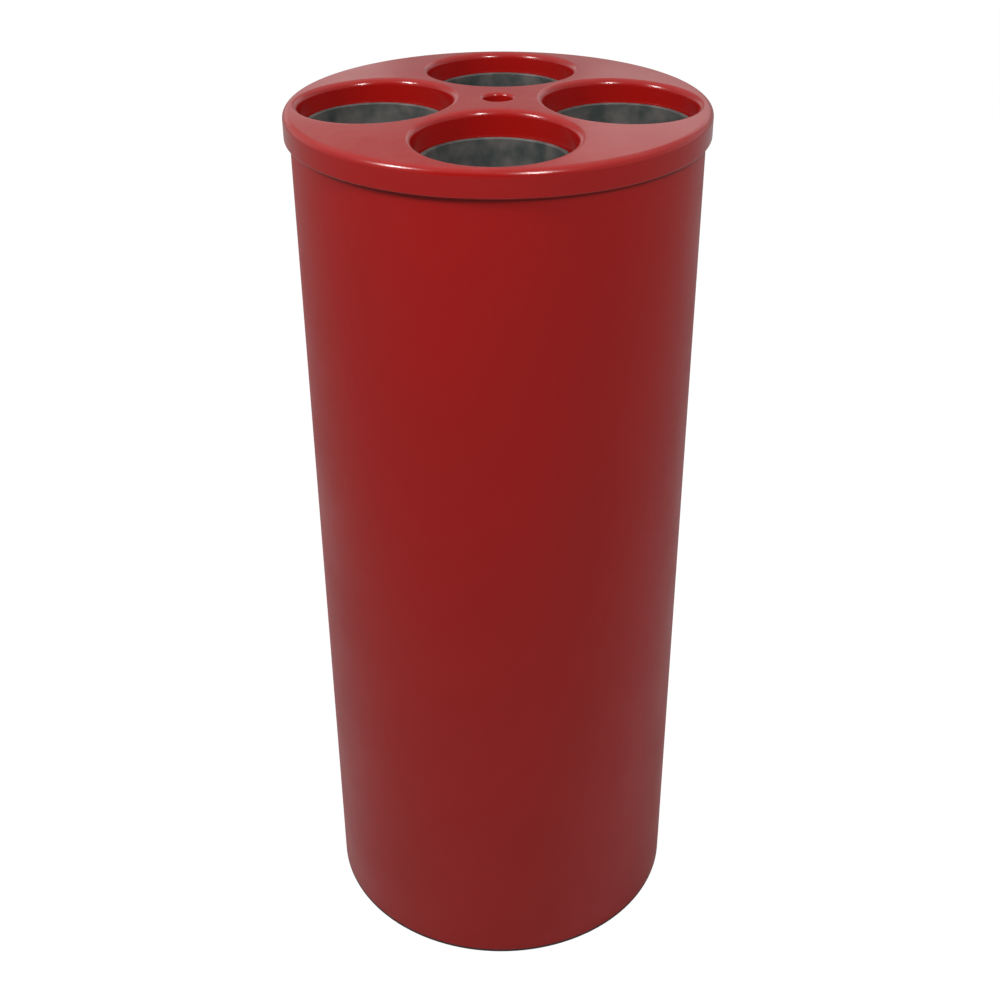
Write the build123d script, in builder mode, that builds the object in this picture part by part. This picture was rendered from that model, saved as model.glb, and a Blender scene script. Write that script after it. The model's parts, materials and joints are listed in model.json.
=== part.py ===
"""A tall round waste bin with four cup tubes, millimetres, +Z up.

A plain tube is the casing. It stands on a moulded base cap with rubber feet, and a moulded lid drops
over its top. The lid has four round mouths and one small hole between them. A loose plastic tube
hangs in line with each mouth: it stands in a socket of the base cap, and its top is held by the
mouth's collar. It is a little narrower than the collar, so it lifts out through the mouth.

The origin is on the ground at the centre of the bin. The front mouth is on the -Y side.
"""

import math
import os

from build123d import *

# --- driving dimensions -------------------------------------------------------------------------
# casing: a plain tube, as wide as the four tubes and their collars need
BODY_LENGTH = 583.0
BODY_WALL = 3.0
BODY_EDGE_BREAK = 0.3
COLLAR_TO_BODY_CLEARANCE = 0.5

# base cap
FLANGE_CLEARANCE = 1.0  # ground to the underside of the flange that the casing stands on
FLANGE_THICKNESS = 2.0
SPIGOT_LENGTH = 11.5  # what reaches up into the casing
SPIGOT_CLEARANCE = 0.05  # filled with adhesive
SPIGOT_WALL = 2.5
FLOOR_CLEARANCE = 8.0  # ground to the underside of the floor, and so the height of a foot
FLOOR_THICKNESS = 3.0
SOCKET_HEIGHT = 3.5
SOCKET_WALL = 2.0
FLOOR_RIBS = 8
RIB_THICKNESS = 2.0
RIB_HUB_RADIUS = 14.0
RIB_FLOOR_GAP = 3.0  # ground to the underside of the ribs

# cup tubes and the narrow stirrer tube
MOUTHS = 4
CUP_TUBE_OUTER_RADIUS = 45.0
CUP_TUBE_WALL = 3.0
STIRRER_TUBE_OUTER_RADIUS = 8.0
STIRRER_TUBE_WALL = 1.5
TUBE_RIM_DEPTH = 12.0  # lid's top edge down to the tubes' rims
TUBE_EDGE_BREAK = 0.5
SOCKET_CLEARANCE = 0.4
PLUG_THICKNESS = 2.0
PLUG_WALL = 2.0
PLUG_CLEARANCE = 0.1
CUP_PLUG_REACH = 12.0
STIRRER_PLUG_REACH = 6.0

# lid
LID_THICKNESS = 3.0
LID_CROWN = 3.5  # how much higher the middle of the lid is than its edge
LID_WALL = 3.0
LID_CLEARANCE = 0.5  # casing to the inside of the skirt
LID_SKIRT_DEPTH = 16.0
LID_EDGE_RADIUS = 4.0
SKIRT_EDGE_RADIUS = 1.0
COLLAR_DEPTH = 20.0
COLLAR_WALL = 2.0
COLLAR_GAP = 8.0  # between the walls of neighbouring collars
COLLAR_CLEARANCE = 0.5  # tube to the narrow end of its collar
COLLAR_DRAFT = 1.0  # how much wider the collar's radius is at the height of the lid's edge
MOUTH_LIP_RADIUS = 4.0
STIRRER_COLLAR_DRAFT = 0.3
STIRRER_LIP_RADIUS = 2.0
EDGE_LAND = 0.4  # least width between the lid's rounded edge and a mouth's lip
LID_RIB_DEPTH = 10.0
LID_RIB_THICKNESS = 2.0

# feet and their screws
FEET = 4
FOOT_INSET = 21.5  # spigot's inner face to a foot's axis
FOOT_TOP_RADIUS = 10.0
FOOT_BOTTOM_RADIUS = 8.5
FOOT_EDGE_RADIUS = 1.0
FOOT_RECESS_RADIUS = 4.6
FOOT_WEB = 3.5  # rubber between the screw's head and the floor
BOSS_RADIUS = 4.5
BOSS_HEIGHT = 3.5
BOSS_ROOF = 1.0  # solid plastic over the screw hole
SCREW_LENGTH = 8.0
SCREW_SHANK_RADIUS = 1.75
SCREW_HEAD_RADIUS = 3.5
SCREW_HEAD_HEIGHT = 2.4
SCREW_HOLE_CLEARANCE = 0.05
FOOT_HOLE_CLEARANCE = 0.3
DRIVE_LENGTH = 4.2
DRIVE_WIDTH = 1.0
DRIVE_DEPTH = 1.4

# --- sizes that follow --------------------------------------------------------------------------
cup_throat_radius = CUP_TUBE_OUTER_RADIUS + COLLAR_CLEARANCE
cup_collar_radius = cup_throat_radius + COLLAR_DRAFT / 2 + COLLAR_WALL
stirrer_throat_radius = STIRRER_TUBE_OUTER_RADIUS + COLLAR_CLEARANCE
stirrer_collar_radius = stirrer_throat_radius + STIRRER_COLLAR_DRAFT / 2 + COLLAR_WALL
mouth_circle_radius = (cup_collar_radius + COLLAR_GAP / 2) / math.sin(math.pi / MOUTHS)
body_inner_radius = mouth_circle_radius + cup_collar_radius + COLLAR_TO_BODY_CLEARANCE
body_radius = body_inner_radius + BODY_WALL
spigot_radius = body_inner_radius - SPIGOT_CLEARANCE
spigot_inner_radius = spigot_radius - SPIGOT_WALL
foot_circle_radius = spigot_inner_radius - FOOT_INSET
body_bottom = FLANGE_CLEARANCE + FLANGE_THICKNESS
body_top = body_bottom + BODY_LENGTH
lid_top = body_top + LID_THICKNESS
lid_radius = body_radius + LID_CLEARANCE + LID_WALL
lid_seat_radius = body_inner_radius - 2 * COLLAR_TO_BODY_CLEARANCE
crown_radius = (lid_radius**2 + LID_CROWN**2) / (2 * LID_CROWN)
floor_top = FLOOR_CLEARANCE + FLOOR_THICKNESS
tube_bottom = floor_top + PLUG_THICKNESS
tube_length = lid_top - TUBE_RIM_DEPTH - tube_bottom
collar_bottom = lid_top - COLLAR_DEPTH
throat_height = COLLAR_DEPTH + 2 * LID_CROWN  # past the lid's crowned top face

SIDES = ["front", "right", "back", "left"]
front_angle = -90
mouth_places = PolarLocations(mouth_circle_radius, MOUTHS, start_angle=front_angle)
foot_places = PolarLocations(foot_circle_radius, FEET, start_angle=front_angle + 180 / FEET)


def at_height(places, z):
    """The same places, raised to a height."""
    return Locations(*[Location((p.position.X, p.position.Y, z)) for p in places.locations])


def write(made, name):
    """Labels a finished piece and writes it as one STEP file."""
    made.part.label = name
    export_step(made.part, f"parts/{name}.step")
    return made.part


def circles_at(made, z):
    """The circular edges of a piece that lie at one height, from the narrowest to the widest."""
    level = made.edges().filter_by(GeomType.CIRCLE).filter_by_position(Axis.Z, z, z)
    return level.sort_by(SortBy.RADIUS)


# --- casing -------------------------------------------------------------------------------------
def make_body_tube():
    with BuildPart() as body_tube:
        with BuildSketch(Plane.XY.offset(body_bottom)):
            Circle(body_radius)
            Circle(body_inner_radius, mode=Mode.SUBTRACT)
        extrude(amount=BODY_LENGTH)
        chamfer(body_tube.edges().filter_by(GeomType.CIRCLE), BODY_EDGE_BREAK)
    return body_tube


# --- base cap -----------------------------------------------------------------------------------
def make_base_cap():
    with BuildPart() as base_cap:
        # spigot, with the flange that the casing stands on
        with BuildSketch(Plane.XY.offset(FLANGE_CLEARANCE)):
            Circle(spigot_radius)
            Circle(spigot_inner_radius, mode=Mode.SUBTRACT)
        extrude(amount=FLANGE_THICKNESS + SPIGOT_LENGTH)
        chamfer(circles_at(base_cap, body_bottom + SPIGOT_LENGTH)[-1], BODY_EDGE_BREAK)
        with BuildSketch(Plane.XY.offset(FLANGE_CLEARANCE)):
            Circle(body_radius)
            Circle(spigot_inner_radius, mode=Mode.SUBTRACT)
        extrude(amount=FLANGE_THICKNESS)
        chamfer(circles_at(base_cap, FLANGE_CLEARANCE)[-1], BODY_EDGE_BREAK)
        # floor
        with BuildSketch(Plane.XY.offset(FLOOR_CLEARANCE)):
            Circle(spigot_inner_radius)
        extrude(amount=FLOOR_THICKNESS)
        # ribs under the floor, from a hub out to the spigot
        with BuildSketch(Plane.XY.offset(RIB_FLOOR_GAP)):
            rib_length = spigot_inner_radius - RIB_HUB_RADIUS + RIB_THICKNESS / 2
            with PolarLocations(RIB_HUB_RADIUS, FLOOR_RIBS, start_angle=180 / FLOOR_RIBS):
                Rectangle(rib_length, RIB_THICKNESS, align=(Align.MIN, Align.CENTER))
            Circle(RIB_HUB_RADIUS + RIB_THICKNESS / 2)
            Circle(RIB_HUB_RADIUS - RIB_THICKNESS / 2, mode=Mode.SUBTRACT)
        extrude(amount=FLOOR_CLEARANCE - RIB_FLOOR_GAP)
        # sockets for the tubes, and bosses for the foot screws
        with BuildSketch(Plane.XY.offset(floor_top)):
            with mouth_places:
                Circle(CUP_TUBE_OUTER_RADIUS + SOCKET_CLEARANCE + SOCKET_WALL)
            Circle(STIRRER_TUBE_OUTER_RADIUS + SOCKET_CLEARANCE + SOCKET_WALL)
            with mouth_places:
                Circle(CUP_TUBE_OUTER_RADIUS + SOCKET_CLEARANCE, mode=Mode.SUBTRACT)
            Circle(STIRRER_TUBE_OUTER_RADIUS + SOCKET_CLEARANCE, mode=Mode.SUBTRACT)
        extrude(amount=SOCKET_HEIGHT)
        with BuildSketch(Plane.XY.offset(floor_top)):
            with foot_places:
                Circle(BOSS_RADIUS)
        extrude(amount=BOSS_HEIGHT)
        with at_height(foot_places, FLOOR_CLEARANCE):
            Cylinder(
                SCREW_SHANK_RADIUS + SCREW_HOLE_CLEARANCE,
                FLOOR_THICKNESS + BOSS_HEIGHT - BOSS_ROOF,
                align=(Align.CENTER, Align.CENTER, Align.MIN),
                mode=Mode.SUBTRACT,
            )
    return base_cap


# --- lid ----------------------------------------------------------------------------------------
def keep_under_crown(depth):
    """Trims what has been made to a large ball, parallel to the crowned face and this far under it."""
    with Locations((0, 0, lid_top + LID_CROWN - crown_radius)):
        Sphere(crown_radius - depth, rotation=(90, 0, 0), mode=Mode.INTERSECT)


def cut_throats(places, narrow_radius, draft):
    """The spaces in the collars: cones, a little wider at the top."""
    with at_height(places, collar_bottom):
        Cone(
            narrow_radius,
            narrow_radius + draft * throat_height / COLLAR_DEPTH,
            throat_height,
            align=(Align.CENTER, Align.CENTER, Align.MIN),
            mode=Mode.SUBTRACT,
        )


def rims_on_top(lid):
    """The edges of the lid's crowned face, from the shortest to the longest."""
    return lid.faces().sort_by(Axis.Z)[-1].edges().sort_by(SortBy.LENGTH)


def make_lid():
    mouth_radius = cup_throat_radius + COLLAR_DRAFT
    rim_land = lid_radius - mouth_circle_radius - mouth_radius - EDGE_LAND
    lip_radius = min(MOUTH_LIP_RADIUS, rim_land / 2)
    edge_radius = min(LID_EDGE_RADIUS, rim_land - lip_radius)
    # space under the plate, inside the flat ring that rests on the casing
    with BuildPart() as hollow:
        with BuildSketch(Plane.XY.offset(collar_bottom)):
            Circle(lid_seat_radius)
        extrude(amount=throat_height)
        keep_under_crown(LID_THICKNESS)
    with BuildPart() as lid:
        # blank, hollowed out inside the skirt and under the plate
        with BuildSketch(Plane.XY.offset(lid_top - LID_SKIRT_DEPTH)):
            Circle(lid_radius)
        extrude(amount=LID_SKIRT_DEPTH + LID_CROWN)
        with BuildSketch(Plane.XY.offset(body_top)):
            Circle(lid_radius - LID_WALL)
        extrude(amount=LID_THICKNESS - LID_SKIRT_DEPTH, mode=Mode.SUBTRACT)
        add(hollow.part, mode=Mode.SUBTRACT)
        # walls of the collars, and the ribs that tie them to the middle one
        with BuildSketch(Plane.XY.offset(collar_bottom)):
            with mouth_places:
                Circle(cup_collar_radius)
            Circle(stirrer_collar_radius)
        extrude(amount=COLLAR_DEPTH + LID_CROWN)
        with BuildSketch(Plane.XY.offset(body_top - LID_RIB_DEPTH)):
            Rectangle(2 * mouth_circle_radius, LID_RIB_THICKNESS)
            Rectangle(LID_RIB_THICKNESS, 2 * mouth_circle_radius)
        extrude(amount=LID_RIB_DEPTH + LID_CROWN)
        # throats, crowned top face, rounded lips and edges
        cut_throats(mouth_places, cup_throat_radius, COLLAR_DRAFT)
        cut_throats(Locations((0, 0)), stirrer_throat_radius, STIRRER_COLLAR_DRAFT)
        keep_under_crown(0)
        fillet(rims_on_top(lid)[0], STIRRER_LIP_RADIUS)
        fillet(rims_on_top(lid)[1 : 1 + MOUTHS], lip_radius)
        fillet(rims_on_top(lid)[-1], edge_radius)
        fillet(circles_at(lid, lid_top - LID_SKIRT_DEPTH)[-1], SKIRT_EDGE_RADIUS)
    return lid


# --- tubes and their plugs ----------------------------------------------------------------------
def make_tube(place, outer_radius, wall):
    """A plain tube, open at both ends."""
    with BuildPart() as tube:
        with BuildSketch(Plane.XY.offset(tube_bottom)):
            with Locations(place):
                Circle(outer_radius)
                Circle(outer_radius - wall, mode=Mode.SUBTRACT)
        extrude(amount=tube_length)
        chamfer(circles_at(tube, tube_bottom + tube_length), TUBE_EDGE_BREAK)
    return tube


def make_plug(place, outer_radius, wall, reach):
    """The cap in a tube's foot: a disc that the tube stands on, and a wall that reaches up inside it."""
    plug_radius = outer_radius - wall - PLUG_CLEARANCE
    with BuildPart() as plug:
        with BuildSketch(Plane.XY.offset(floor_top)):
            with Locations(place):
                Circle(outer_radius)
        extrude(amount=PLUG_THICKNESS)
        with BuildSketch(Plane.XY.offset(tube_bottom)):
            with Locations(place):
                Circle(plug_radius)
                Circle(plug_radius - PLUG_WALL, mode=Mode.SUBTRACT)
        extrude(amount=reach)
        chamfer(circles_at(plug, tube_bottom + reach)[-1], TUBE_EDGE_BREAK)
        chamfer(circles_at(plug, floor_top)[-1], TUBE_EDGE_BREAK)
    return plug


# --- feet ---------------------------------------------------------------------------------------
def make_foot(place):
    """A rubber buffer with a recess for the head of the screw that holds it."""
    with BuildPart() as foot:
        with Locations((place.X, place.Y, 0)):
            Cone(
                FOOT_BOTTOM_RADIUS,
                FOOT_TOP_RADIUS,
                FLOOR_CLEARANCE,
                align=(Align.CENTER, Align.CENTER, Align.MIN),
            )
        fillet(circles_at(foot, 0)[-1], FOOT_EDGE_RADIUS)
        with BuildSketch(Plane.XY):
            with Locations((place.X, place.Y)):
                Circle(FOOT_RECESS_RADIUS)
        extrude(amount=FLOOR_CLEARANCE - FOOT_WEB, mode=Mode.SUBTRACT)
        with BuildSketch(Plane.XY):
            with Locations((place.X, place.Y)):
                Circle(SCREW_SHANK_RADIUS + FOOT_HOLE_CLEARANCE)
        extrude(amount=FLOOR_CLEARANCE, mode=Mode.SUBTRACT)
    return foot


def make_foot_screw(place):
    """A pan-head screw, head down, driven up through the foot into the base cap's boss."""
    head_seat = FLOOR_CLEARANCE - FOOT_WEB
    with BuildPart() as screw:
        with BuildSketch(Plane.XY.offset(head_seat)):
            with Locations((place.X, place.Y)):
                Circle(SCREW_HEAD_RADIUS)
        extrude(amount=-SCREW_HEAD_HEIGHT)
        fillet(circles_at(screw, head_seat - SCREW_HEAD_HEIGHT)[-1], SCREW_HEAD_HEIGHT / 2)
        with BuildSketch(Plane.XY.offset(head_seat)):
            with Locations((place.X, place.Y)):
                Circle(SCREW_SHANK_RADIUS)
        extrude(amount=SCREW_LENGTH)
        chamfer(circles_at(screw, head_seat + SCREW_LENGTH)[-1], SCREW_SHANK_RADIUS / 2)
        with BuildSketch(Plane.XY.offset(head_seat - SCREW_HEAD_HEIGHT)):
            with Locations((place.X, place.Y)):
                Rectangle(DRIVE_LENGTH, DRIVE_WIDTH)
                Rectangle(DRIVE_WIDTH, DRIVE_LENGTH)
        extrude(amount=DRIVE_DEPTH, mode=Mode.SUBTRACT)
    return screw


# --- the whole bin ------------------------------------------------------------------------------
os.makedirs("parts", exist_ok=True)
write(make_body_tube(), "body_tube")
write(make_base_cap(), "base_cap")
write(make_lid(), "lid")
for side, mouth in zip(SIDES, mouth_places.locations):
    centre = (mouth.position.X, mouth.position.Y)
    write(make_tube(centre, CUP_TUBE_OUTER_RADIUS, CUP_TUBE_WALL), f"cup_tube_{side}")
    write(make_plug(centre, CUP_TUBE_OUTER_RADIUS, CUP_TUBE_WALL, CUP_PLUG_REACH), f"cup_tube_plug_{side}")
write(make_tube((0, 0), STIRRER_TUBE_OUTER_RADIUS, STIRRER_TUBE_WALL), "stirrer_tube")
write(
    make_plug((0, 0), STIRRER_TUBE_OUTER_RADIUS, STIRRER_TUBE_WALL, STIRRER_PLUG_REACH),
    "stirrer_tube_plug",
)
for number, foot_place in enumerate(foot_places.locations, start=1):
    write(make_foot(foot_place.position), f"rubber_foot_{number}")
    write(make_foot_screw(foot_place.position), f"foot_screw_{number}")
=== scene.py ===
# %% [markdown]
# # A collector bin for used cups
#
# The bin is a plain red tube with a glossy moulded lid. Four round mouths in the lid lead into four loose
# inner tubes, where used cups nest into stacks. A small hole in the middle takes the stirrers.
#
# The working model comes first and is never moved: it fixes every size and place. What is made here is
# the look of it. Most of the bin is turned shapes, so one Geometry Nodes tree makes all the plain tubes,
# and the lid is made of turned surfaces joined by two shallow domed plates.

# %% Load the working model
import json
import math

import bmesh
import bpy
from mathutils import Matrix, Vector
from mathutils.geometry import delaunay_2d_cdt

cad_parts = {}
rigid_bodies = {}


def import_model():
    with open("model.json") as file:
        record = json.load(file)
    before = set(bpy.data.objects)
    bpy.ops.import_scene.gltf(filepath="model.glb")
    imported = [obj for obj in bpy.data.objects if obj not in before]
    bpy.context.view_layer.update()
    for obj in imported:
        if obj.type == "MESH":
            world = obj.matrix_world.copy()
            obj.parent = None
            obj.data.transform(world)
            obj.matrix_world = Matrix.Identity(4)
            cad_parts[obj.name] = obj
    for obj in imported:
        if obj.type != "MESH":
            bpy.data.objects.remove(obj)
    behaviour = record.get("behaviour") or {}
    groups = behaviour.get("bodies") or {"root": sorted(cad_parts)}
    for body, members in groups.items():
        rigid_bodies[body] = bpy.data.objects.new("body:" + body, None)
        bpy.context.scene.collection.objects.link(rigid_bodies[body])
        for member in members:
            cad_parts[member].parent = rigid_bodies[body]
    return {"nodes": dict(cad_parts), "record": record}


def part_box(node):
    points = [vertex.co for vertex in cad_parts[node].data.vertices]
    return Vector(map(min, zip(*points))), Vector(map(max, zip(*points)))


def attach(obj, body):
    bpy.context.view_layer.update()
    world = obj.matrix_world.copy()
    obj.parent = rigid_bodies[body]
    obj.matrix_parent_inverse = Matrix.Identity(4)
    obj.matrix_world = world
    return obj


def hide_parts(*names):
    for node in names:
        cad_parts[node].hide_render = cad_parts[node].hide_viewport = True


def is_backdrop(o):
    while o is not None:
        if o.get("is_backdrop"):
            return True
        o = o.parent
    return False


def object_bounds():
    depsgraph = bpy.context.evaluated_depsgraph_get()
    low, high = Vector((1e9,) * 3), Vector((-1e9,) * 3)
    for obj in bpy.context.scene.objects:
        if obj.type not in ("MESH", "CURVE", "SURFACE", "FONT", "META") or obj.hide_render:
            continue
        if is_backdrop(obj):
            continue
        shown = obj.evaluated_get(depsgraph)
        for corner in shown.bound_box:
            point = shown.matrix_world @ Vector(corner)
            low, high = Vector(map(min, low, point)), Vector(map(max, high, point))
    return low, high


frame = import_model()
cad_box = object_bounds()
scene = bpy.context.scene
MM = 0.001
print("size in mm:", [round(s / MM, 1) for s in cad_box[1] - cad_box[0]])

# %% [markdown]
# ## Camera
#
# A bin like this is seen by someone standing close, who looks down into the mouths. A constraint could aim
# the camera at the bin, but three turns set outright are easier to read: round to face the bin, down to
# look at it, and a slight lean of the camera itself.

# %% Camera
CAMERA_DISTANCE = 0.861  # from the bin's axis, along the floor
CAMERA_HEIGHT = 0.826
CAMERA_ROUND = math.radians(1.4)  # a step to the right of the front mouth
CAMERA_DOWN = math.radians(30.83)
CAMERA_LEAN = math.radians(-0.31)
CAMERA_LENS = 51.77
CAMERA_SENSOR = 36

camera = bpy.data.objects.new("camera", bpy.data.cameras.new("camera"))
scene.collection.objects.link(camera)
scene.camera = camera
camera.data.sensor_width = CAMERA_SENSOR
camera.data.lens = CAMERA_LENS
camera.matrix_world = (
    Matrix.Rotation(CAMERA_ROUND, 4, "Z")
    @ Matrix.Translation((0, -CAMERA_DISTANCE, CAMERA_HEIGHT))
    @ Matrix.Rotation(math.pi / 2 - CAMERA_DOWN, 4, "X")
    @ Matrix.Rotation(CAMERA_LEAN, 4, "Z")
)
print("camera at", [round(c, 3) for c in camera.location])

# %% [markdown]
# ## A helper for nodes
#
# Materials and Geometry Nodes trees are both made by adding nodes and linking them. Written out, that is
# three or four lines for each node, so one helper adds a node, sets it up and links its inputs.

# %% A helper for nodes
def put(tree, kind, inputs=None, **settings):
    """Adds a node. Its inputs are given as values, or as outputs of other nodes to link to them."""
    made = tree.nodes.new(kind)
    for name, value in settings.items():
        setattr(made, name, value)
    for name, value in (inputs or {}).items():
        if isinstance(value, bpy.types.NodeSocket):
            tree.links.new(value, made.inputs[name])
        else:
            made.inputs[name].default_value = value
    return made


print("helper:", put.__name__, "-", put.__doc__)

# %% [markdown]
# ## Floor
#
# The bin stands on a plain pale floor. A real white floor needs strong light to look white, and throws so
# much of it back that the foot of a red tube turns pink. So this floor glows for the eye alone, and for
# light that comes off the bin it is a mid grey paint. A soft shadow still shows in the little paint that
# the eye does see.

# %% Floor
FLOOR_SIZE = 12.0
FLOOR_GLOW = 0.93  # what the eye sees, before any shadow
FLOOR_SHADED = 0.12  # the paint that the eye sees, which takes the shadow
FLOOR_REFLECTED = 0.57  # the paint that light off the bin meets

floor_material = bpy.data.materials.new("pale_floor")
floor_material.use_nodes = True
tree = floor_material.node_tree
tree.nodes.clear()
seen = put(tree, "ShaderNodeLightPath").outputs["Is Camera Ray"]
paint = put(tree, "ShaderNodeMapRange", {"Value": seen, 3: FLOOR_REFLECTED, 4: FLOOR_SHADED}).outputs[0]
diffuse = put(tree, "ShaderNodeBsdfDiffuse", {"Color": paint}).outputs[0]
strength = put(tree, "ShaderNodeMath", {0: seen, 1: FLOOR_GLOW}, operation="MULTIPLY").outputs[0]
glowing = put(tree, "ShaderNodeEmission", {"Strength": strength}).outputs[0]
both = put(tree, "ShaderNodeAddShader", {0: diffuse, 1: glowing}).outputs[0]
put(tree, "ShaderNodeOutputMaterial", {"Surface": both})

half = FLOOR_SIZE / 2
corners = [(-half, -half, 0), (half, -half, 0), (half, half, 0), (-half, half, 0)]
floor_mesh = bpy.data.meshes.new("floor")
floor_mesh.from_pydata(corners, [], [(0, 1, 2, 3)])
floor_mesh.materials.append(floor_material)
floor = bpy.data.objects.new("floor", floor_mesh)
scene.collection.objects.link(floor)
floor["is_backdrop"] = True
print("floor:", FLOOR_SIZE, "m square")

# %% [markdown]
# ## Room light
#
# The room gives soft light that shows the plastic's colour. A lamp on every side could do that, but each
# would draw its own spot in the glossy lid. A bright sky with no edges has no spots: it is brightest
# overhead, and behind the bin it is bright enough to lay an even pale sheen on the lid's top. In front it
# is dim, so the casing keeps a deep red. Past the end of the floor the eye sees plain white.

# %% Room light
ROOM_EVERYWHERE = 0.07  # light that comes from every way, with more added to it from some
ROOM_ABOVE = 0.65
ROOM_IN_FRONT = 0.03
ROOM_BEHIND = 0.3
ROOM_BESIDE = 0.5
ROOM_SEEN = 0.99  # what the camera sees past the end of the floor

room = bpy.data.worlds.new("room")
room.use_nodes = True
tree = room.node_tree
backdrop = tree.nodes["Background"].inputs
backdrop["Color"].default_value = (1, 1, 1, 1)
way = put(tree, "ShaderNodeSeparateXYZ", {0: put(tree, "ShaderNodeTexCoord").outputs["Generated"]}).outputs
forwards = put(tree, "ShaderNodeMath", {0: way["Y"], 1: -1.0}, operation="MULTIPLY").outputs[0]
sideways = put(tree, "ShaderNodeMath", {0: way["X"]}, operation="ABSOLUTE").outputs[0]
brightness = ROOM_EVERYWHERE
for direction, dark_until, bright_from, strength in (
    (way["Z"], 0.45, 0.95, ROOM_ABOVE),
    (forwards, -0.2, 0.6, ROOM_IN_FRONT),
    (way["Y"], -0.1, 0.7, ROOM_BEHIND),
    (sideways, 0.4, 0.95, ROOM_BESIDE),
):
    values = {"Value": direction, 1: dark_until, 2: bright_from, 4: strength}
    fade = put(tree, "ShaderNodeMapRange", values, interpolation_type="SMOOTHSTEP").outputs[0]
    brightness = put(tree, "ShaderNodeMath", {0: fade, 1: brightness}, operation="ADD").outputs[0]
seen = put(tree, "ShaderNodeLightPath").outputs["Is Camera Ray"]
shown = put(tree, "ShaderNodeMapRange", {"Value": seen, 3: brightness, 4: ROOM_SEEN}).outputs[0]
tree.links.new(shown, backdrop["Strength"])
scene.world = room
scene.view_settings.view_transform = "Standard"
print("room light, above, in front, behind, beside:", ROOM_ABOVE, ROOM_IN_FRONT, ROOM_BEHIND, ROOM_BESIDE)

# %% [markdown]
# ## Lamps
#
# Two narrow soft strips stand in front, one each side, with their beams held close. They draw the pair of
# bright spots that every rounded glossy lip shows, and shade the round casing from light to dark. Two wide
# cards stand far behind, above the camera's view: the lid's top mirrors them, more on the right than on the
# left.

# %% Lamps
lit_point = Vector((0, 0, cad_box[1].z))


def soft_lamp(name, place, size, power, spread=180):
    """A rectangular lamp that faces the lid. Spread is the angle of its beam in degrees."""
    lamp = bpy.data.objects.new(name, bpy.data.lights.new(name, "AREA"))
    lamp.data.shape = "RECTANGLE"
    lamp.data.size, lamp.data.size_y = size
    lamp.data.energy = power
    lamp.data.spread = math.radians(spread)
    lamp.location = place
    lamp.rotation_euler = (lit_point - Vector(place)).to_track_quat("-Z", "Y").to_euler()
    scene.collection.objects.link(lamp)
    print(name, "at", place)


soft_lamp("strip_left", (-1.0, -0.6, 1.5), size=(0.24, 0.45), power=3.3, spread=80)
soft_lamp("strip_right", (0.45, -1.1, 1.5), size=(0.16, 0.45), power=3.0, spread=80)
soft_lamp("card_left", (-0.95, 2.3, 1.05), size=(1.3, 0.5), power=0.9)
soft_lamp("card_right", (0.85, 2.3, 1.5), size=(1.5, 0.9), power=2.2)

# %% [markdown]
# ## Surface effects that the plastics share
#
# Moulded plastic is never perfectly smooth or clean. Each thing that marks it is a shader group of its own,
# so every plastic can use it at its own strength. A group gives out only a height or a mask; each material
# decides what to do with it. All of them read Object coordinates, which are metres on the bin, so a grain
# has the same size on every piece.
#
# Every group starts in the same way, with its named inputs and outputs, so a helper does that part.

# %% A helper for node groups
SHADER, FLOAT = "ShaderNodeTree", "NodeSocketFloat"


def new_group(name, kind, inputs, outputs):
    """A node group with named sockets. Returns it, what it is given and where its results go."""
    tree = bpy.data.node_groups.new(name, kind)
    for label, socket, value in inputs:
        made = tree.interface.new_socket(label, in_out="INPUT", socket_type=socket)
        if value is not None:
            made.default_value = value
    for label, socket in outputs:
        tree.interface.new_socket(label, in_out="OUTPUT", socket_type=socket)
    return tree, put(tree, "NodeGroupInput").outputs, put(tree, "NodeGroupOutput").inputs


print("helper:", new_group.__name__, "-", new_group.__doc__)

# %% [markdown]
# The first group is the mould's own grain: a fine pebble, and broad patches where the tool is more worn.

# %% Grain
def grain_group():
    """The fine pebble that a mould's surface leaves, and broad patches. Both sizes are in metres."""
    tree, given, result = new_group(
        "moulded_grain",
        SHADER,
        [("Pebble", FLOAT, 0.001), ("Patch Size", FLOAT, 0.07)],
        [("Height", FLOAT), ("Patches", FLOAT)],
    )
    place = put(tree, "ShaderNodeTexCoord").outputs["Object"]
    for size, detail, output in (("Pebble", 1.0, "Height"), ("Patch Size", 3.0, "Patches")):
        scale = put(tree, "ShaderNodeMath", {0: 1.0, 1: given[size]}, operation="DIVIDE").outputs[0]
        noise = put(tree, "ShaderNodeTexNoise", {"Vector": place, "Scale": scale, "Detail": detail})
        tree.links.new(noise.outputs["Fac"], result[output])
    return tree


grain = grain_group()
print("made", grain.name)

# %% [markdown]
# A tube is pushed out through a die, which leaves faint lines along it. A wave texture would give even
# stripes; noise that is squeezed along the tube gives lines that start and end by chance, as real ones do.

# %% Drawn lines
def drawn_lines_group():
    """Faint upright lines: noise that changes fast round the tube and slowly along it."""
    sizes = [("Lines per metre", FLOAT, 500.0), ("Stretch", FLOAT, 0.004)]
    tree, given, result = new_group("drawn_lines", SHADER, sizes, [("Height", FLOAT)])
    place = put(tree, "ShaderNodeTexCoord").outputs["Object"]
    squeeze = put(tree, "ShaderNodeCombineXYZ", {"X": 1.0, "Y": 1.0, "Z": given["Stretch"]}).outputs[0]
    drawn = put(tree, "ShaderNodeVectorMath", {0: place, 1: squeeze}, operation="MULTIPLY").outputs[0]
    settings = {"Vector": drawn, "Scale": given["Lines per metre"], "Detail": 2.0}
    lines = put(tree, "ShaderNodeTexNoise", settings)
    tree.links.new(lines.outputs["Fac"], result["Height"])
    return tree


drawn_lines = drawn_lines_group()
print("made", drawn_lines.name)

# %% [markdown]
# Hands and cups leave hairline scuffs. Drawing each scratch as a curve would be slow and would look
# placed. Stretched noise crosses its middle value along thin lines, so those lines are the scratches.

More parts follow.
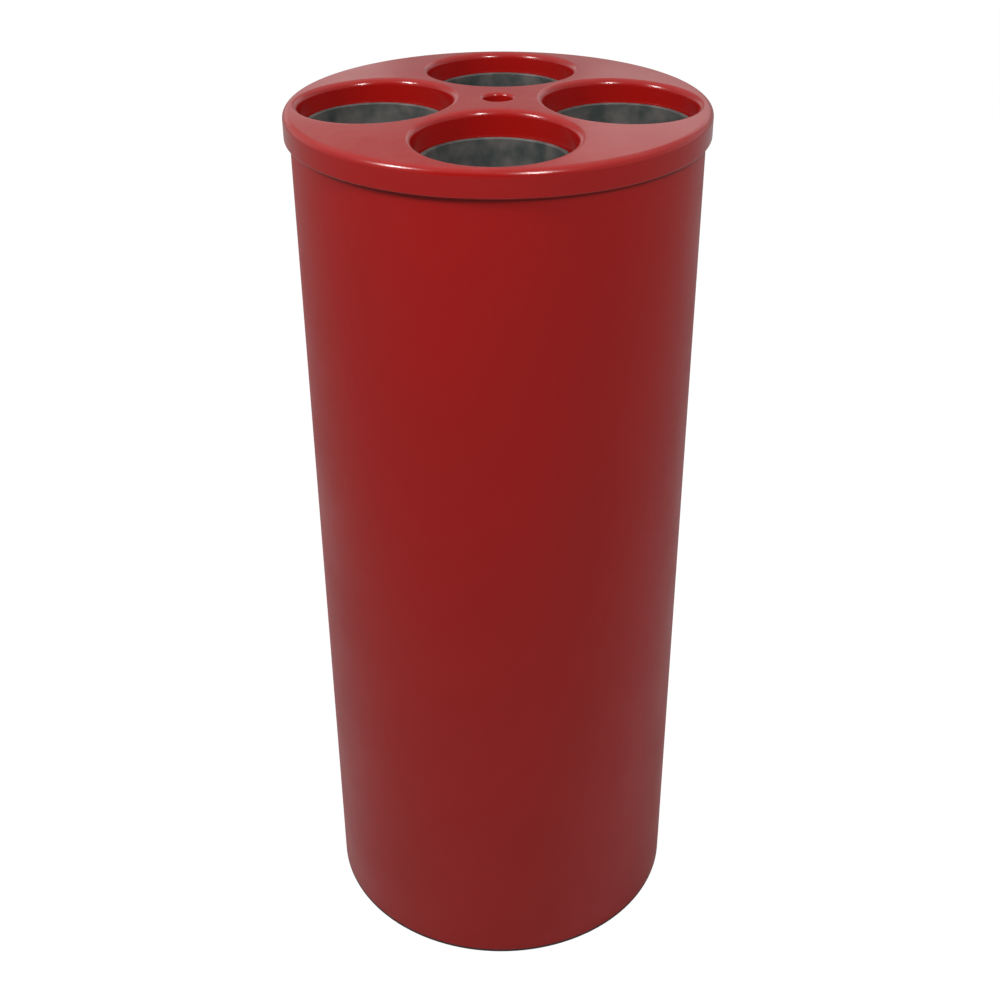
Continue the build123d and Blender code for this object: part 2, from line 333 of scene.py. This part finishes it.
# %% Scuffs
SCUFF_WAYS = ((0.5, (60, 4, 30)), (2.1, (50, 5, 40)))  # a turn, and how the noise is stretched after it
SCUFF_TILT = (0.3, 0.2)
SCUFFED_SPOTS = 22.0  # how closely the spots lie that have scuffs at all
NO_SCUFFS, ALL_SCUFFS = 0.5, 0.62  # the values of the spots' noise between which the scuffs come in


def scuffs_group():
    """Thin scratches in two directions: the narrow band where stretched noise crosses its middle value."""
    sizes = [("Amount", FLOAT, 0.5), ("Width", FLOAT, 0.006)]
    tree, given, result = new_group("hairline_scuffs", SHADER, sizes, [("Mask", FLOAT)])
    place = put(tree, "ShaderNodeTexCoord").outputs["Object"]
    masks = []
    for turn_by, stretch in SCUFF_WAYS:
        settings = {"Vector": place, "Rotation": (*SCUFF_TILT, turn_by), "Scale": stretch}
        turned = put(tree, "ShaderNodeMapping", settings)
        noise = put(tree, "ShaderNodeTexNoise", {"Vector": turned.outputs[0], "Scale": 1.0, "Detail": 2.0})
        off = put(tree, "ShaderNodeMath", {0: noise.outputs["Fac"], 1: 0.5}, operation="SUBTRACT").outputs[0]
        size = put(tree, "ShaderNodeMath", {0: off}, operation="ABSOLUTE").outputs[0]
        line = put(tree, "ShaderNodeMath", {0: size, 1: given["Width"]}, operation="LESS_THAN")
        masks.append(line.outputs[0])
    both = put(tree, "ShaderNodeMath", {0: masks[0], 1: masks[1]}, operation="MAXIMUM").outputs[0]
    spots = put(tree, "ShaderNodeTexNoise", {"Vector": place, "Scale": SCUFFED_SPOTS, "Detail": 2.0})
    fade_in = {"Value": spots.outputs["Fac"], 1: NO_SCUFFS, 2: ALL_SCUFFS}
    some = put(tree, "ShaderNodeMapRange", fade_in).outputs[0]
    kept = put(tree, "ShaderNodeMath", {0: both, 1: some}, operation="MULTIPLY").outputs[0]
    scaled = put(tree, "ShaderNodeMath", {0: kept, 1: given["Amount"]}, operation="MULTIPLY").outputs[0]
    tree.links.new(scaled, result["Mask"])
    return tree


scuffs = scuffs_group()
print("made", scuffs.name)

# %% [markdown]
# Dust settles on whatever faces up, so its mask comes from the surface's own direction and stays right
# when a piece is lifted out.

# %% Dust
DUST_CLOUDS = 30.0  # how closely the denser patches lie
DUST_SLOPE = 0.5  # dust starts to hold where the upward part of the surface's direction passes this
NO_DUST, ALL_DUST = 0.35, 0.75  # the values of the clouds' noise between which the dust comes in


def dust_group():
    """Dust lies where the surface faces up, in soft uneven patches."""
    tree, given, result = new_group("settled_dust", SHADER, [("Amount", FLOAT, 0.3)], [("Mask", FLOAT)])
    place = put(tree, "ShaderNodeTexCoord").outputs["Object"]
    facing = put(tree, "ShaderNodeNewGeometry").outputs["Normal"]
    up = put(tree, "ShaderNodeSeparateXYZ", {0: facing}).outputs["Z"]
    lying = put(tree, "ShaderNodeMapRange", {"Value": up, 1: DUST_SLOPE, 2: 1.0}).outputs[0]
    settings = {"Vector": place, "Scale": DUST_CLOUDS, "Detail": 6.0, "Roughness": 0.7}
    clouds = put(tree, "ShaderNodeTexNoise", settings)
    fade_in = {"Value": clouds.outputs["Fac"], 1: NO_DUST, 2: ALL_DUST}
    uneven = put(tree, "ShaderNodeMapRange", fade_in).outputs[0]
    both = put(tree, "ShaderNodeMath", {0: lying, 1: uneven}, operation="MULTIPLY").outputs[0]
    scaled = put(tree, "ShaderNodeMath", {0: both, 1: given["Amount"]}, operation="MULTIPLY").outputs[0]
    tree.links.new(scaled, result["Mask"])
    return tree


dust = dust_group()
print("made", dust.name)

# %% [markdown]
# ## The plastics
#
# A plastic is built up in the same order each time: its own colour, slightly uneven in shade; dust laid
# over it; a roughness that the patches and scuffs disturb; and a bump from the grain. One function does
# that, and each finish below gives it its own values.
#
# Gloss comes mostly from roughness. The casing's specular level is lower too, because a drawn satin tube
# mirrors less of the room than the polished lid does.

# %% Two helpers for materials
def use(tree, group, **values):
    """Places a shader group in a material, sets its inputs and returns its outputs."""
    made = put(tree, "ShaderNodeGroup", node_tree=group)
    for name, value in values.items():
        made.inputs[name.replace("_", " ")].default_value = value
    return made.outputs


def blend_colours(tree, mask, under, over):
    """One colour over another, where the mask says."""
    return put(tree, "ShaderNodeMix", {"Factor": mask, 6: under, 7: over}, data_type="RGBA").outputs[2]


print("shared effects:", grain.name, drawn_lines.name, scuffs.name, dust.name)

# %% [markdown]
# The bump is made from the pebble, and for a drawn tube from the drawn lines as well. A scuff or a dusty
# spot is rougher than what is round it, which is how both are seen: they dull the gloss.

# %% A plastic
DUST_COLOUR = (0.55, 0.52, 0.48, 1)
PATCH_LOW, PATCH_HIGH = 0.35, 0.65  # the values of the patches at which their two colours are reached
SCUFF_ROUGHER = 0.3
DUST_ROUGHER = 0.5


def plastic(name, colour, shade, roughness, pebble, bump, specular, scuffed, dusty, drawn=0.0, patch=0.07):
    """A finished plastic. Shade is the darker of its two tones; roughness is its lowest and highest."""
    material = bpy.data.materials.new(name)
    material.use_nodes = True
    tree = material.node_tree
    tree.nodes.clear()
    skin = use(tree, grain, Pebble=pebble, Patch_Size=patch)
    scratches = use(tree, scuffs, Amount=scuffed)["Mask"]
    lying = use(tree, dust, Amount=dusty)["Mask"]

    between = {"Value": skin["Patches"], 1: PATCH_LOW, 2: PATCH_HIGH}
    uneven = put(tree, "ShaderNodeMapRange", between).outputs[0]
    base = blend_colours(tree, uneven, (*colour, 1), (*shade, 1))

    def added(to, amount, scale):
        """A value with a share of another one added to it."""
        return put(tree, "ShaderNodeMath", {0: amount, 1: scale, 2: to}, operation="MULTIPLY_ADD").outputs[0]

    height = skin["Height"]
    if drawn:
        height = added(height, use(tree, drawn_lines)["Height"], drawn)
    low, high = roughness
    rough = put(tree, "ShaderNodeMapRange", {**between, 3: low, 4: high}).outputs[0]
    rough = added(rough, scratches, SCUFF_ROUGHER)
    rough = added(rough, lying, DUST_ROUGHER)
    relief = put(tree, "ShaderNodeBump", {"Height": height, "Strength": 1.0, "Distance": bump}).outputs[0]
    shader = put(
        tree,
        "ShaderNodeBsdfPrincipled",
        {
            "Base Color": blend_colours(tree, lying, base, DUST_COLOUR),
            "Roughness": rough,
            "Normal": relief,
            "Specular IOR Level": specular,
        },
    )
    put(tree, "ShaderNodeOutputMaterial", {"Surface": shader.outputs[0]})
    return material


print("roughness that full scuffs and full dust add:", SCUFF_ROUGHER, DUST_ROUGHER)

# %% [markdown]
# ## The finishes
#
# The casing and the lid are the same red, but the tube comes satin from its die and the lid glossy from a
# polished mould. The inner tubes are plain grey stock, mottled by what has dried on them. The end plugs and
# the base cap are darker and duller. The base cap's near black is painted shadow: it stands for the thin
# line of shade at the bin's foot.
#
# The size of the pebble, the depth of the bump and the size of a patch are all in metres.

# %% The finishes
casing_red = plastic(
    "casing_red", colour=(0.256, 0.005, 0.004), shade=(0.246, 0.0048, 0.0038), roughness=(0.35, 0.43),
    pebble=0.0009, bump=0.00003, specular=0.24, scuffed=0.1, dusty=0.0, drawn=0.8,
)
lid_red = plastic(
    "lid_red", colour=(0.252, 0.0045, 0.0035), shade=(0.244, 0.0042, 0.0032), roughness=(0.17, 0.24),
    pebble=0.0011, bump=0.00001, specular=0.4, scuffed=0.08, dusty=0.04,
)
tube_grey = plastic(
    "tube_grey", colour=(0.088, 0.083, 0.078), shade=(0.03, 0.038, 0.036), roughness=(0.4, 0.48),
    pebble=0.0012, bump=0.00002, specular=0.4, scuffed=0.6, dusty=0.1, drawn=0.8, patch=0.012,
)
plug_grey = plastic(
    "plug_grey", colour=(0.06, 0.063, 0.058), shade=(0.05, 0.052, 0.048), roughness=(0.45, 0.6),
    pebble=0.001, bump=0.00003, specular=0.4, scuffed=0.3, dusty=0.3,
)
# Near black is painted shadow: it stands for the thin line of shade at the bin's foot.
base_painted_shadow = plastic(
    "base_painted_shadow", colour=(0.03, 0.017, 0.016), shade=(0.022, 0.014, 0.013), roughness=(0.5, 0.65),
    pebble=0.0009, bump=0.00004, specular=0.3, scuffed=0.3, dusty=0.05,
)
foot_rubber = plastic(
    "foot_rubber", colour=(0.02, 0.02, 0.02), shade=(0.015, 0.015, 0.015), roughness=(0.75, 0.9),
    pebble=0.0006, bump=0.00005, specular=0.2, scuffed=0.0, dusty=0.2,
)
finished = (casing_red, lid_red, tube_grey, plug_grey, base_painted_shadow, foot_rubber)
print("plastics:", [material.name for material in finished])

# %% [markdown]
# ## Zinc plate
#
# The foot screws are plated steel, which is a metal and not a plastic: it has no colour of its own under
# the gloss. Its grain group drives only the roughness, as plating comes out cloudy.

# %% Zinc
ZINC = (0.62, 0.63, 0.66, 1)
ZINC_GRAIN = 0.0005
ZINC_CLEAR, ZINC_CLOUDY = 0.25, 0.45  # its lowest and highest roughness

zinc_plate = bpy.data.materials.new("zinc_plate")
zinc_plate.use_nodes = True
tree = zinc_plate.node_tree
tree.nodes.clear()
cloudy = use(tree, grain, Pebble=ZINC_GRAIN)
between = {"Value": cloudy["Height"], 3: ZINC_CLEAR, 4: ZINC_CLOUDY}
clouded = put(tree, "ShaderNodeMapRange", between).outputs[0]
plated = put(tree, "ShaderNodeBsdfPrincipled", {"Base Color": ZINC, "Metallic": 1.0, "Roughness": clouded})
put(tree, "ShaderNodeOutputMaterial", {"Surface": plated.outputs[0]})
print("made", zinc_plate.name)

# %% [markdown]
# ## Tubes
#
# The casing, the four cup tubes and the stirrer tube are one idea at three sizes: a wall of even thickness
# with a slightly rounded rim. A cylinder could be hollowed and its edges bevelled, each by hand. A
# Geometry Nodes tree says it once: the cut through the wall is a rectangle with filleted corners, and it
# is swept round a circle. Each tube is then a set of values.

# %% The tube tree
SHAPE, GEOMETRY, MATERIAL = "GeometryNodeTree", "NodeSocketGeometry", "NodeSocketMaterial"
INT, VECTOR = "NodeSocketInt", "NodeSocketVector"
RIM_STEPS = 4  # faces in each rounded corner of the rim


def tube_tree():
    """A rectangle with rounded corners swept round an upright axis."""
    tree, given, result = new_group(
        "tube",
        SHAPE,
        [
            ("Outer Radius", FLOAT, 0.045),
            ("Wall", FLOAT, 0.003),
            ("Length", FLOAT, 0.5),
            ("Rim Rounding", FLOAT, 0.0005),
            ("Around", INT, 128),
            ("Middle", VECTOR, (0, 0, 0)),
            ("Material", MATERIAL, None),
        ],
        [("Geometry", GEOMETRY)],
    )
    half_wall = put(tree, "ShaderNodeMath", {0: given["Wall"], 1: 0.5}, operation="MULTIPLY").outputs[0]
    to_middle = {0: given["Outer Radius"], 1: half_wall}
    middle_radius = put(tree, "ShaderNodeMath", to_middle, operation="SUBTRACT").outputs[0]
    ring = {"Resolution": given["Around"], "Radius": middle_radius}
    circle = put(tree, "GeometryNodeCurvePrimitiveCircle", ring).outputs["Curve"]
    section = {"Width": given["Wall"], "Height": given["Length"]}
    cut = put(tree, "GeometryNodeCurvePrimitiveQuadrilateral", section).outputs[0]
    rounding = {"Curve": cut, "Count": RIM_STEPS, "Radius": given["Rim Rounding"], "Limit Radius": True}
    rounded = put(tree, "GeometryNodeFilletCurve", rounding, mode="POLY").outputs[0]
    swept = put(tree, "GeometryNodeCurveToMesh", {"Curve": circle, "Profile Curve": rounded}).outputs[0]
    move = {"Geometry": swept, "Translation": given["Middle"]}
    placed = put(tree, "GeometryNodeTransform", move).outputs[0]
    smooth = put(tree, "GeometryNodeSetShadeSmooth", {"Geometry": placed}).outputs[0]
    real = put(tree, "GeometryNodeRealizeInstances", {"Geometry": smooth}).outputs[0]
    dressing = {"Geometry": real, "Material": given["Material"]}
    finished = put(tree, "GeometryNodeSetMaterial", dressing).outputs[0]
    tree.links.new(finished, result["Geometry"])
    return tree


tubes = tube_tree()
print("inputs of the tube tree:", [i.name for i in tubes.interface.items_tree if i.in_out == "INPUT"])

# %% [markdown]
# A tree only shows its result while its modifier stays in place. Every piece rides on a body of its own, so
# each result is taken out as a plain mesh. A worker object carries the modifier, and goes when it has run.

# %% From a tree to a plain mesh
def run_tree(name, tree, values, start=None):
    """Runs a tree on a start mesh, or on nothing, and returns the result as a plain object."""
    worker = bpy.data.objects.new("worker", start or bpy.data.meshes.new("worker"))
    scene.collection.objects.link(worker)
    modifier = worker.modifiers.new(tree.name, "NODES")
    modifier.node_group = tree
    for socket in tree.interface.items_tree:
        if socket.in_out == "INPUT" and socket.name in values:
            modifier[socket.identifier] = values[socket.name]
    evaluated = worker.evaluated_get(bpy.context.evaluated_depsgraph_get())
    mesh = bpy.data.meshes.new_from_object(evaluated)
    bpy.data.objects.remove(worker)
    mesh.name = name
    piece = bpy.data.objects.new(name, mesh)
    scene.collection.objects.link(piece)
    return piece


print("helper:", run_tree.__name__, "-", run_tree.__doc__)

# %% [markdown]
# A swept or welded mesh may have its faces turned inwards, and round and flat parts shade into each other.
# Cleaning turns all faces outwards, keeps true corners sharp and smooths the rest. It also counts the edges
# that don't have two faces, because a closed mesh has none.

# %% Clean a mesh
SHARP_ANGLE = math.radians(40)


def clean(piece):
    """Turns all faces outwards, keeps true corners sharp and lets the large faces set the shading."""
    work = bmesh.new()
    work.from_mesh(piece.data)
    bmesh.ops.recalc_face_normals(work, faces=work.faces)
    open_edges = sum(not e.is_manifold for e in work.edges)
    for edge in work.edges:
        edge.smooth = edge.is_manifold and edge.calc_face_angle() < SHARP_ANGLE
    for face in work.faces:
        face.smooth = True
    work.to_mesh(piece.data)
    work.free()
    shading = piece.modifiers.new("even shading", "WEIGHTED_NORMAL")
    shading.mode = "FACE_AREA"
    shading.keep_sharp = True
    heights = [v.co.z for v in piece.data.vertices]
    print(f"{piece.name}: {len(piece.data.polygons)} faces, {open_edges} open edges,", end=" ")
    print(f"z {min(heights):.4f} to {max(heights):.4f}")


print("helper:", clean.__name__, "-", clean.__doc__)

# %% [markdown]
# The casing is cut from thick tube and only broken at its edges; the inner tubes are rounder, because cups
# must slide past their rims. Each takes its width, length and place from the node it stands for, so only
# the wall and the rounding are given.

# %% The casing and the inner tubes
TUBE_WALL = 3 * MM
STIRRER_TUBE_WALL = 1.5 * MM
CASING_RIM_ROUNDING = 0.3 * MM
TUBE_RIM_ROUNDING = 0.5 * MM
CASING_STEPS, CUP_TUBE_STEPS, STIRRER_STEPS = 256, 128, 48  # how many faces go round each


def make_tube(node, body, wall, rounding, around, material, slot):
    """A tube that stands for a node of the working model and takes its size and place from it."""
    low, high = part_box(node)
    piece = run_tree(
        node + "_wall",
        tubes,
        {
            "Outer Radius": (high.x - low.x) / 2,
            "Wall": wall,
            "Length": high.z - low.z,
            "Rim Rounding": rounding,
            "Around": around,
            "Middle": (low + high) / 2,
            "Material": material,
        },
    )
    clean(piece)
    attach(piece, body)
    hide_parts(node)
    return piece


make_tube("body_tube", "bin", TUBE_WALL, CASING_RIM_ROUNDING, CASING_STEPS, casing_red, "casing")
small = (TUBE_RIM_ROUNDING, CUP_TUBE_STEPS, tube_grey, "inner_tube")
for side in ("front", "right", "back", "left"):
    tube = f"cup_tube_{side}"
    make_tube(tube, tube, TUBE_WALL, *small)
thin = (TUBE_RIM_ROUNDING, STIRRER_STEPS, tube_grey, "inner_tube")
make_tube("stirrer_tube", "stirrer_tube", STIRRER_TUBE_WALL, *thin)

# %% [markdown]
# ## Lid
#
# The lid is one moulding. A round skirt hangs from a plate with a shallow crown, which sheds rain. Each
# mouth has a soft lip that rolls over into a collar, and the collar keeps its tube upright. Ribs under the
# plate tie the collars to the one in the middle.
#
# Cutting holes with a boolean and bevelling them after leaves thin, uneven faces that show in a gloss.
# Here every rounded part is a turned outline, with its fillets drawn as arcs, and two plates, the top and
# the underside, only fill what is left between the circles. The circles share their points, so the pieces
# weld into one closed shell. All of it is drawn flat and then raised to the crown in one go, which keeps
# the lips square to the plate.

# %% Sizes of the lid
casing_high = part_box("body_tube")[1]
lid_low, lid_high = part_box("lid")
tube_low, tube_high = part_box("cup_tube_front")
stirrer_low, stirrer_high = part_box("stirrer_tube")

LID_THICKNESS = 3 * MM
LID_CROWN = 3.5 * MM
LID_WALL = 3 * MM
COLLAR_WALL = 2 * MM
COLLAR_CLEARANCE = 0.5 * MM
COLLAR_DRAFT = 1 * MM  # how much wider a throat is at the top
STIRRER_COLLAR_DRAFT = 0.3 * MM
MOUTHS = 4

underside = casing_high.z
top = underside + LID_THICKNESS
collar_bottom = lid_low.z
mouth_distance = -(tube_low.y + tube_high.y) / 2
throat = (tube_high.x - tube_low.x) / 2 + COLLAR_CLEARANCE
collar_outside = throat + COLLAR_DRAFT / 2 + COLLAR_WALL
stirrer_throat = (stirrer_high.x - stirrer_low.x) / 2 + COLLAR_CLEARANCE
stirrer_outside = stirrer_throat + STIRRER_COLLAR_DRAFT / 2 + COLLAR_WALL
skirt_inside = lid_high.x - LID_WALL
casing_inside = casing_high.x - TUBE_WALL
crown_radius = (lid_high.x**2 + LID_CROWN**2) / (2 * LID_CROWN)
print("radius of the lid and of its crown, in mm:", round(lid_high.x / MM, 2), round(crown_radius / MM))

# %% [markdown]
# An outline is a list of points, each a distance from the axis and a height. Curves would do as well, but
# a plain list lets each fillet say where it starts and ends. The skirt has one outline, and the mouths and
# the hole in the middle share the other.

# %% Outlines that turn
SKIRT_DEPTH = 16 * MM
LID_EDGE_RADIUS = 4 * MM
MOUTH_LIP_RADIUS = 4 * MM
STIRRER_LIP_RADIUS = 2 * MM
SKIRT_EDGE_RADIUS = 1 * MM
FINE_EDGE_RADIUS = 0.4 * MM
LIP_STEPS, SKIRT_EDGE_STEPS, FINE_STEPS = 12, 5, 4  # faces in each fillet


def arc(middle, radius, start, end, steps):
    """Points along an arc, as distance from the axis and height. An angle of 0 points outwards, 90 up."""
    turns = [math.radians(start + (end - start) * i / steps) for i in range(steps + 1)]
    return [(middle[0] + radius * math.cos(t), middle[1] + radius * math.sin(t)) for t in turns]


def collar_outline(inside, draft, lip, outside):
    """From the plate's top over the lip, down the throat, round the bottom edge and up to the plate."""
    bottom = collar_bottom + FINE_EDGE_RADIUS
    return [
        *arc((inside + draft + lip, top - lip), lip, 90, 180, LIP_STEPS),
        *arc((inside + FINE_EDGE_RADIUS, bottom), FINE_EDGE_RADIUS, 180, 270, FINE_STEPS),
        *arc((outside - FINE_EDGE_RADIUS, bottom), FINE_EDGE_RADIUS, 270, 360, FINE_STEPS),
        (outside, underside),
    ]


def skirt_outline():
    """From the plate's top over the lid's edge, down the skirt, round its rim and up inside."""
    edge, rim, fine = LID_EDGE_RADIUS, SKIRT_EDGE_RADIUS, FINE_EDGE_RADIUS
    outside, bottom = lid_high.x, top - SKIRT_DEPTH
    return [
        *arc((outside - edge, top - edge), edge, 90, 0, LIP_STEPS),
        *arc((outside - rim, bottom + rim), rim, 0, -90, SKIRT_EDGE_STEPS),
        *arc((skirt_inside + fine, bottom + fine), fine, -90, -180, FINE_STEPS),
        (skirt_inside, underside),
    ]


print("outline points:", len(skirt_outline()), "in the skirt")

# %% [markdown]
# Turning an outline gives a round wall. Every circle starts on the +X side, so a wall and the plate that
# meets it have their points in the same places.

# %% Walls
LID_STEPS, MOUTH_STEPS = 256, 128  # how many faces go round each


def circle(radius, steps, middle=(0.0, 0.0)):
    """Points round a circle, from the +X side."""
    turns = [2 * math.pi * k / steps for k in range(steps)]
    return [(middle[0] + radius * math.cos(t), middle[1] + radius * math.sin(t)) for t in turns]


def turn(work, outline, steps, middle=(0.0, 0.0)):
    """Adds the surface that an outline makes as it turns about an upright axis."""
    rings = [
        [work.verts.new((x, y, height)) for x, y in circle(distance, steps, middle)]
        for distance, height in outline
    ]
    for ring, following in zip(rings, rings[1:]):
        for k in range(steps):
            work.faces.new((ring[k], ring[k - 1], following[k - 1], following[k]))


print("points round the lid and round a mouth:", LID_STEPS, MOUTH_STEPS)

# %% [markdown]
# The plates between the walls are filled with small triangles of one size, because the crown bends them:
# long thin ones would show as creases in the gloss. The triangles are a Delaunay filling of the circles
# and of rings of points between them, and those that fall in a hole are left out.

# %% Plates
PLATE_GRAIN = 4 * MM
WELD_DISTANCE = 0.01 * MM


def plate(work, edge, holes, height):
    """Fills the space between a circle and the round holes in it with small, even triangles."""
    points, links = [], []
    for radius, steps, middle in ((edge, LID_STEPS, (0.0, 0.0)), *holes):
        first = len(points)
        points += [Vector(point) for point in circle(radius, steps, middle)]
        links += [(first + k, first + (k + 1) % steps) for k in range(steps)]
    for ring in range(1, int(edge / PLATE_GRAIN)):
        radius = ring * PLATE_GRAIN
        for point in circle(radius, round(math.tau * radius / PLATE_GRAIN)):
            room = [math.dist(point, middle) - hole for hole, steps, middle in holes]
            if min(*room, edge - radius) > PLATE_GRAIN / 2:
                points.append(Vector(point))
    filled = delaunay_2d_cdt(points, links, [], 0, WELD_DISTANCE / 10)
    corners = [work.verts.new((*point, height)) for point in filled[0]]
    for triangle in filled[2]:
        middle = sum((filled[0][k] for k in triangle), Vector((0, 0))) / 3
        if all(math.dist(middle, hole[2]) > hole[0] * math.cos(math.pi / hole[1]) for hole in holes):
            work.faces.new([corners[k] for k in triangle])


print("grain of the plates in mm:", PLATE_GRAIN / MM)

# %% [markdown]
# The crown is a very large ball's top. Everything at the height of the top plate and its lips is raised to
# it, and the underside with it, except the flat seat that rests on the casing's rim.

# %% The crown
def crowned(work):
    """Raises the plates, and the lips in them, to the lid's shallow crown."""
    for vertex in work.verts:
        distance = vertex.co.xy.length
        seat = distance > casing_inside and vertex.co.z < underside + WELD_DISTANCE
        if vertex.co.z > top - MOUTH_LIP_RADIUS - WELD_DISTANCE and not seat:
            vertex.co.z += LID_CROWN - crown_radius + math.sqrt(crown_radius**2 - distance**2)


print("height of the crown in mm:", LID_CROWN / MM)

# %% [markdown]
# The mouths repeat round the bin's axis, so only one is drawn, with the rib beside it. The skirt, the
# plates and the middle collar don't repeat, and are drawn once, as the lid's body.

# %% The lid's body
def lid_body():
    """The skirt, the middle collar and the two plates."""
    work = bmesh.new()
    turn(work, skirt_outline(), LID_STEPS)
    turn(
        work,
        collar_outline(stirrer_throat, STIRRER_COLLAR_DRAFT, STIRRER_LIP_RADIUS, stirrer_outside),
        STIRRER_STEPS,
    )
    lip = throat + COLLAR_DRAFT + MOUTH_LIP_RADIUS
    stirrer_lip = stirrer_throat + STIRRER_COLLAR_DRAFT + STIRRER_LIP_RADIUS
    for edge, mouth, stirrer_hole, height in (
        (lid_high.x - LID_EDGE_RADIUS, lip, stirrer_lip, top),
        (skirt_inside, collar_outside, stirrer_outside, underside),
    ):
        holes = [(mouth, MOUTH_STEPS, middle) for middle in circle(mouth_distance, MOUTHS)]
        plate(work, edge, [*holes, (stirrer_hole, STIRRER_STEPS, (0.0, 0.0))], height)
    crowned(work)
    mesh = bpy.data.meshes.new("lid_body")
    work.to_mesh(mesh)
    work.free()
    return mesh


body_mesh = lid_body()
print("faces in the lid's body:", len(body_mesh.polygons))

# %% [markdown]
# A rib is a plain bar. It reaches a little way into the collar at each end and into the plate above, so
# that the three are one moulding with no gap between them.

# %% One sector of the lid
LID_RIB_DEPTH = 10 * MM
LID_RIB_THICKNESS = 2 * MM
RIB_SINK = 0.2 * MM


def lid_sector():
    """One mouth's collar on the +X side, and the rib between it and the middle collar."""
    work = bmesh.new()
    turn(
        work,
        collar_outline(throat, COLLAR_DRAFT, MOUTH_LIP_RADIUS, collar_outside),
        MOUTH_STEPS,
        (mouth_distance, 0.0),
    )
    near = stirrer_outside - RIB_SINK
    far = mouth_distance - collar_outside + RIB_SINK
    rib = bmesh.ops.create_cube(work, size=1)["verts"]
    size = Vector((far - near, LID_RIB_THICKNESS, LID_RIB_DEPTH + RIB_SINK))
    bmesh.ops.scale(work, verts=rib, vec=size)
    bmesh.ops.translate(work, verts=rib, vec=((near + far) / 2, 0, underside + RIB_SINK - size.z / 2))
    crowned(work)
    mesh = bpy.data.meshes.new("lid_sector")
    work.to_mesh(mesh)
    work.free()
    return mesh


sector_mesh = lid_sector()
print("faces in one sector:", len(sector_mesh.polygons))

# %% [markdown]
# Copies could be made in a loop, but a Geometry Nodes tree keeps the rule in one place: it turns copies of
# the sector about the axis, joins them to the rest and welds the points where they meet.

# %% The tree that repeats a sector
OBJECT = "NodeSocketObject"


def repeat_tree():
    """Joins the body with copies of a sector, turned evenly about the bin's axis, and welds them."""
    tree, given, result = new_group(
        "repeat_round_axis",
        SHAPE,
        [
            ("Geometry", GEOMETRY, None),
            ("Sector", OBJECT, None),
            ("Count", INT, 4),
            ("Weld Distance", FLOAT, WELD_DISTANCE),
            ("Material", MATERIAL, None),
        ],
        [("Geometry", GEOMETRY)],
    )
    sector = put(tree, "GeometryNodeObjectInfo", {"Object": given["Sector"]}).outputs["Geometry"]
    on_axis = put(tree, "GeometryNodePoints", {"Count": given["Count"]}).outputs[0]
    step = put(tree, "ShaderNodeMath", {0: math.tau, 1: given["Count"]}, operation="DIVIDE").outputs[0]
    index = put(tree, "GeometryNodeInputIndex").outputs[0]
    angle = put(tree, "ShaderNodeMath", {0: index, 1: step}, operation="MULTIPLY").outputs[0]
    turned = put(tree, "ShaderNodeCombineXYZ", {"Z": angle}).outputs[0]
    placing = {"Points": on_axis, "Instance": sector, "Rotation": turned}
    copies = put(tree, "GeometryNodeInstanceOnPoints", placing).outputs[0]
    joined = put(tree, "GeometryNodeJoinGeometry")
    tree.links.new(copies, joined.inputs[0])
    tree.links.new(given["Geometry"], joined.inputs[0])
    real = put(tree, "GeometryNodeRealizeInstances", {"Geometry": joined.outputs[0]}).outputs[0]
    welding = {"Geometry": real, "Distance": given["Weld Distance"]}
    welded = put(tree, "GeometryNodeMergeByDistance", welding).outputs[0]
    dressing = {"Geometry": welded, "Material": given["Material"]}
    finished = put(tree, "GeometryNodeSetMaterial", dressing).outputs[0]
    tree.links.new(finished, result["Geometry"])
    return tree


repeats = repeat_tree()
print("inputs of the repeating tree:", [i.name for i in repeats.interface.items_tree if i.in_out == "INPUT"])

# %% [markdown]
# With the body, the sector and the tree made, the lid is one run of the tree. The count of open edges that
# it prints has to be 0: the shell is closed.

# %% The lid
sector = bpy.data.objects.new("lid_sector", sector_mesh)
scene.collection.objects.link(sector)
lid = run_tree(
    "lid_shell",
    repeats,
    {"Sector": sector, "Count": MOUTHS, "Weld Distance": WELD_DISTANCE, "Material": lid_red},
    start=body_mesh,
)
bpy.data.objects.remove(sector)
clean(lid)
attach(lid, "lid")
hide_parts("lid")

# %% [markdown]
# ## Pieces that keep their working shape
#
# The base cap, the end plugs, the feet and their screws are hidden or small, and their working shapes
# already have their real edges, so they only need their finish.

# %% Finishes for the rest
# The base cap's near-black finish paints the shadow line at the bin's foot.
finishes = {"end_plug": plug_grey, "base": base_painted_shadow, "foot": foot_rubber, "screw": zinc_plate}
for part in frame["record"]["subparts"]:
    if part["material_slot"] in finishes:
        node = frame["nodes"][part["node"]]
        node.data.materials.clear()
        node.data.materials.append(finishes[part["material_slot"]])
        print(node.name, "is", node.data.materials[0].name)

# %% Finish
seen_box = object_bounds()
for corner, seen, wanted in zip(("low", "high"), seen_box, cad_box):
    print(corner, "corner moved by, in mm:", [round((a - b) / MM, 3) for a, b in zip(seen, wanted)])
